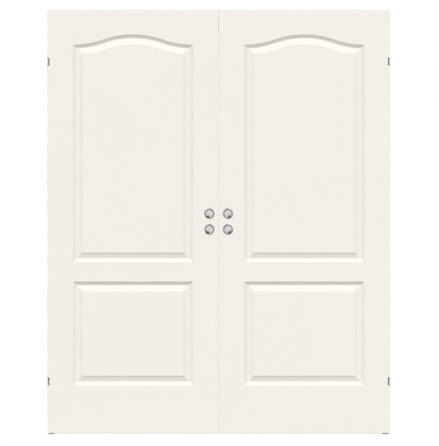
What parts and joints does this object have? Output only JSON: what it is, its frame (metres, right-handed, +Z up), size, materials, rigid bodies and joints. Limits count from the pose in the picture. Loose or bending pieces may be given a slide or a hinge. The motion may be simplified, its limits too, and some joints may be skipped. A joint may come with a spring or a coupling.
{
  "type": "double sliding door",
  "caption": "Double sliding door with moulded arched-panel leaves, round chrome finger pulls and concealed telescopic rails in a timber frame for a wall opening.",
  "frame": {"origin": "floor level, in the middle of the doorway and of the whole depth", "axes": "+Z up, +X to the right as seen from the front, +Y from the leaves into the wall"},
  "size_m": [1.65, 0.1494, 2.045],
  "materials": {
    "leaf_lacquer": "off-white satin lacquer on moulded fibreboard",
    "edge_lacquer": "off-white lacquer on the timber edges",
    "frame_paint": "white satin paint on timber",
    "pull_chrome": "polished chrome plate",
    "buffer_steel": "dark zinc plate",
    "buffer_rubber": "light grey elastomer",
    "rail_steel": "bright zinc plate",
    "roller_steel": "ground bearing steel",
    "beam_aluminium": "clear anodised",
    "guide_nylon": "natural nylon",
    "stop_rubber": "black rubber"
  },
  "bodies": {
    "frame": {"left_jamb": "frame_paint", "right_jamb": "frame_paint", "head": "frame_paint", "corner_screws": "rail_steel", "rail_screws": "rail_steel", "fixed_axles": "rail_steel", "left_fixed_rail": "rail_steel", "left_floor_guide": "guide_nylon", "right_fixed_rail": "rail_steel", "right_floor_guide": "guide_nylon"},
    "left_leaf": {"left_front_skin": "leaf_lacquer", "left_back_skin": "leaf_lacquer", "left_meeting_stile": "edge_lacquer", "left_outer_stile": "edge_lacquer", "left_top_rail": "edge_lacquer", "left_bottom_rail": "edge_lacquer", "left_guide_channel": "beam_aluminium", "left_leaf_rail": "rail_steel", "left_leaf_rail_screws": "rail_steel", "left_leaf_axles": "rail_steel", "left_pull_front_upper": "pull_chrome", "left_pull_front_lower": "pull_chrome", "left_pull_back_upper": "pull_chrome", "left_pull_back_lower": "pull_chrome", "left_buffer_clip_upper": "buffer_steel", "left_buffer_pad_upper": "buffer_rubber", "left_buffer_clip_lower": "buffer_steel", "left_buffer_pad_lower": "buffer_rubber"},
    "left_beam": {"left_beam": "beam_aluminium", "left_beam_stops": "stop_rubber"},
    "left_leaf_roller_inner": {"left_leaf_roller_inner": "roller_steel"},
    "left_leaf_roller_outer": {"left_leaf_roller_outer": "roller_steel"},
    "left_fixed_roller_inner": {"left_fixed_roller_inner": "roller_steel"},
    "left_fixed_roller_outer": {"left_fixed_roller_outer": "roller_steel"},
    "right_leaf": {"right_front_skin": "leaf_lacquer", "right_back_skin": "leaf_lacquer", "right_meeting_stile": "edge_lacquer", "right_outer_stile": "edge_lacquer", "right_top_rail": "edge_lacquer", "right_bottom_rail": "edge_lacquer", "right_guide_channel": "beam_aluminium", "right_leaf_rail": "rail_steel", "right_leaf_rail_screws": "rail_steel", "right_leaf_axles": "rail_steel", "right_pull_front_upper": "pull_chrome", "right_pull_front_lower": "pull_chrome", "right_pull_back_upper": "pull_chrome", "right_pull_back_lower": "pull_chrome", "right_buffer_clip_upper": "buffer_steel", "right_buffer_pad_upper": "buffer_rubber", "right_buffer_clip_lower": "buffer_steel", "right_buffer_pad_lower": "buffer_rubber"},
    "right_beam": {"right_beam": "beam_aluminium", "right_beam_stops": "stop_rubber"},
    "right_leaf_roller_inner": {"right_leaf_roller_inner": "roller_steel"},
    "right_leaf_roller_outer": {"right_leaf_roller_outer": "roller_steel"},
    "right_fixed_roller_inner": {"right_fixed_roller_inner": "roller_steel"},
    "right_fixed_roller_outer": {"right_fixed_roller_outer": "roller_steel"}
  },
  "joints": [
    {"name": "left_leaf_slide", "type": "slide", "parent": "frame", "child": "left_leaf", "axis": [-1, 0, 0], "range_m": [0, 0.78]},
    {"name": "left_beam_slide", "type": "slide", "parent": "frame", "child": "left_beam", "axis": [-1, 0, 0], "range_m": [0, 0.39]},
    {"name": "left_leaf_roller_inner_spin", "type": "hinge", "parent": "left_leaf", "child": "left_leaf_roller_inner", "pos_m": [-0.0395, -0.01975, 2.007], "axis": [0, -1, 0], "continuous": true},
    {"name": "left_leaf_roller_outer_spin", "type": "hinge", "parent": "left_leaf", "child": "left_leaf_roller_outer", "pos_m": [-0.388, -0.01975, 2.007], "axis": [0, -1, 0], "continuous": true},
    {"name": "left_fixed_roller_inner_spin", "type": "hinge", "parent": "frame", "child": "left_fixed_roller_inner", "pos_m": [-0.4375, -0.00475, 2.007], "axis": [0, -1, 0], "continuous": true},
    {"name": "left_fixed_roller_outer_spin", "type": "hinge", "parent": "frame", "child": "left_fixed_roller_outer", "pos_m": [-0.786, -0.00475, 2.007], "axis": [0, -1, 0], "continuous": true},
    {"name": "right_leaf_slide", "type": "slide", "parent": "frame", "child": "right_leaf", "axis": [1, 0, 0], "range_m": [0, 0.78]},
    {"name": "right_beam_slide", "type": "slide", "parent": "frame", "child": "right_beam", "axis": [1, 0, 0], "range_m": [0, 0.39]},
    {"name": "right_leaf_roller_inner_spin", "type": "hinge", "parent": "right_leaf", "child": "right_leaf_roller_inner", "pos_m": [0.0395, -0.01975, 2.007], "axis": [0, 1, 0], "continuous": true},
    {"name": "right_leaf_roller_outer_spin", "type": "hinge", "parent": "right_leaf", "child": "right_leaf_roller_outer", "pos_m": [0.388, -0.01975, 2.007], "axis": [0, 1, 0], "continuous": true},
    {"name": "right_fixed_roller_inner_spin", "type": "hinge", "parent": "frame", "child": "right_fixed_roller_inner", "pos_m": [0.4375, -0.00475, 2.007], "axis": [0, 1, 0], "continuous": true},
    {"name": "right_fixed_roller_outer_spin", "type": "hinge", "parent": "frame", "child": "right_fixed_roller_outer", "pos_m": [0.786, -0.00475, 2.007], "axis": [0, 1, 0], "continuous": true}
  ],
  "couplings": [
    {"joint": "left_beam_slide", "follows": "left_leaf_slide", "ratio": 0.5},
    {"joint": "left_leaf_roller_inner_spin", "follows": "left_leaf_slide", "rad_per_m": 28.249},
    {"joint": "left_leaf_roller_outer_spin", "follows": "left_leaf_slide", "rad_per_m": 28.249},
    {"joint": "left_fixed_roller_inner_spin", "follows": "left_leaf_slide", "rad_per_m": 28.249},
    {"joint": "left_fixed_roller_outer_spin", "follows": "left_leaf_slide", "rad_per_m": 28.249},
    {"joint": "right_beam_slide", "follows": "right_leaf_slide", "ratio": 0.5},
    {"joint": "right_leaf_roller_inner_spin", "follows": "right_leaf_slide", "rad_per_m": 28.249},
    {"joint": "right_leaf_roller_outer_spin", "follows": "right_leaf_slide", "rad_per_m": 28.249},
    {"joint": "right_fixed_roller_inner_spin", "follows": "right_leaf_slide", "rad_per_m": 28.249},
    {"joint": "right_fixed_roller_outer_spin", "follows": "right_leaf_slide", "rad_per_m": 28.249}
  ]
}
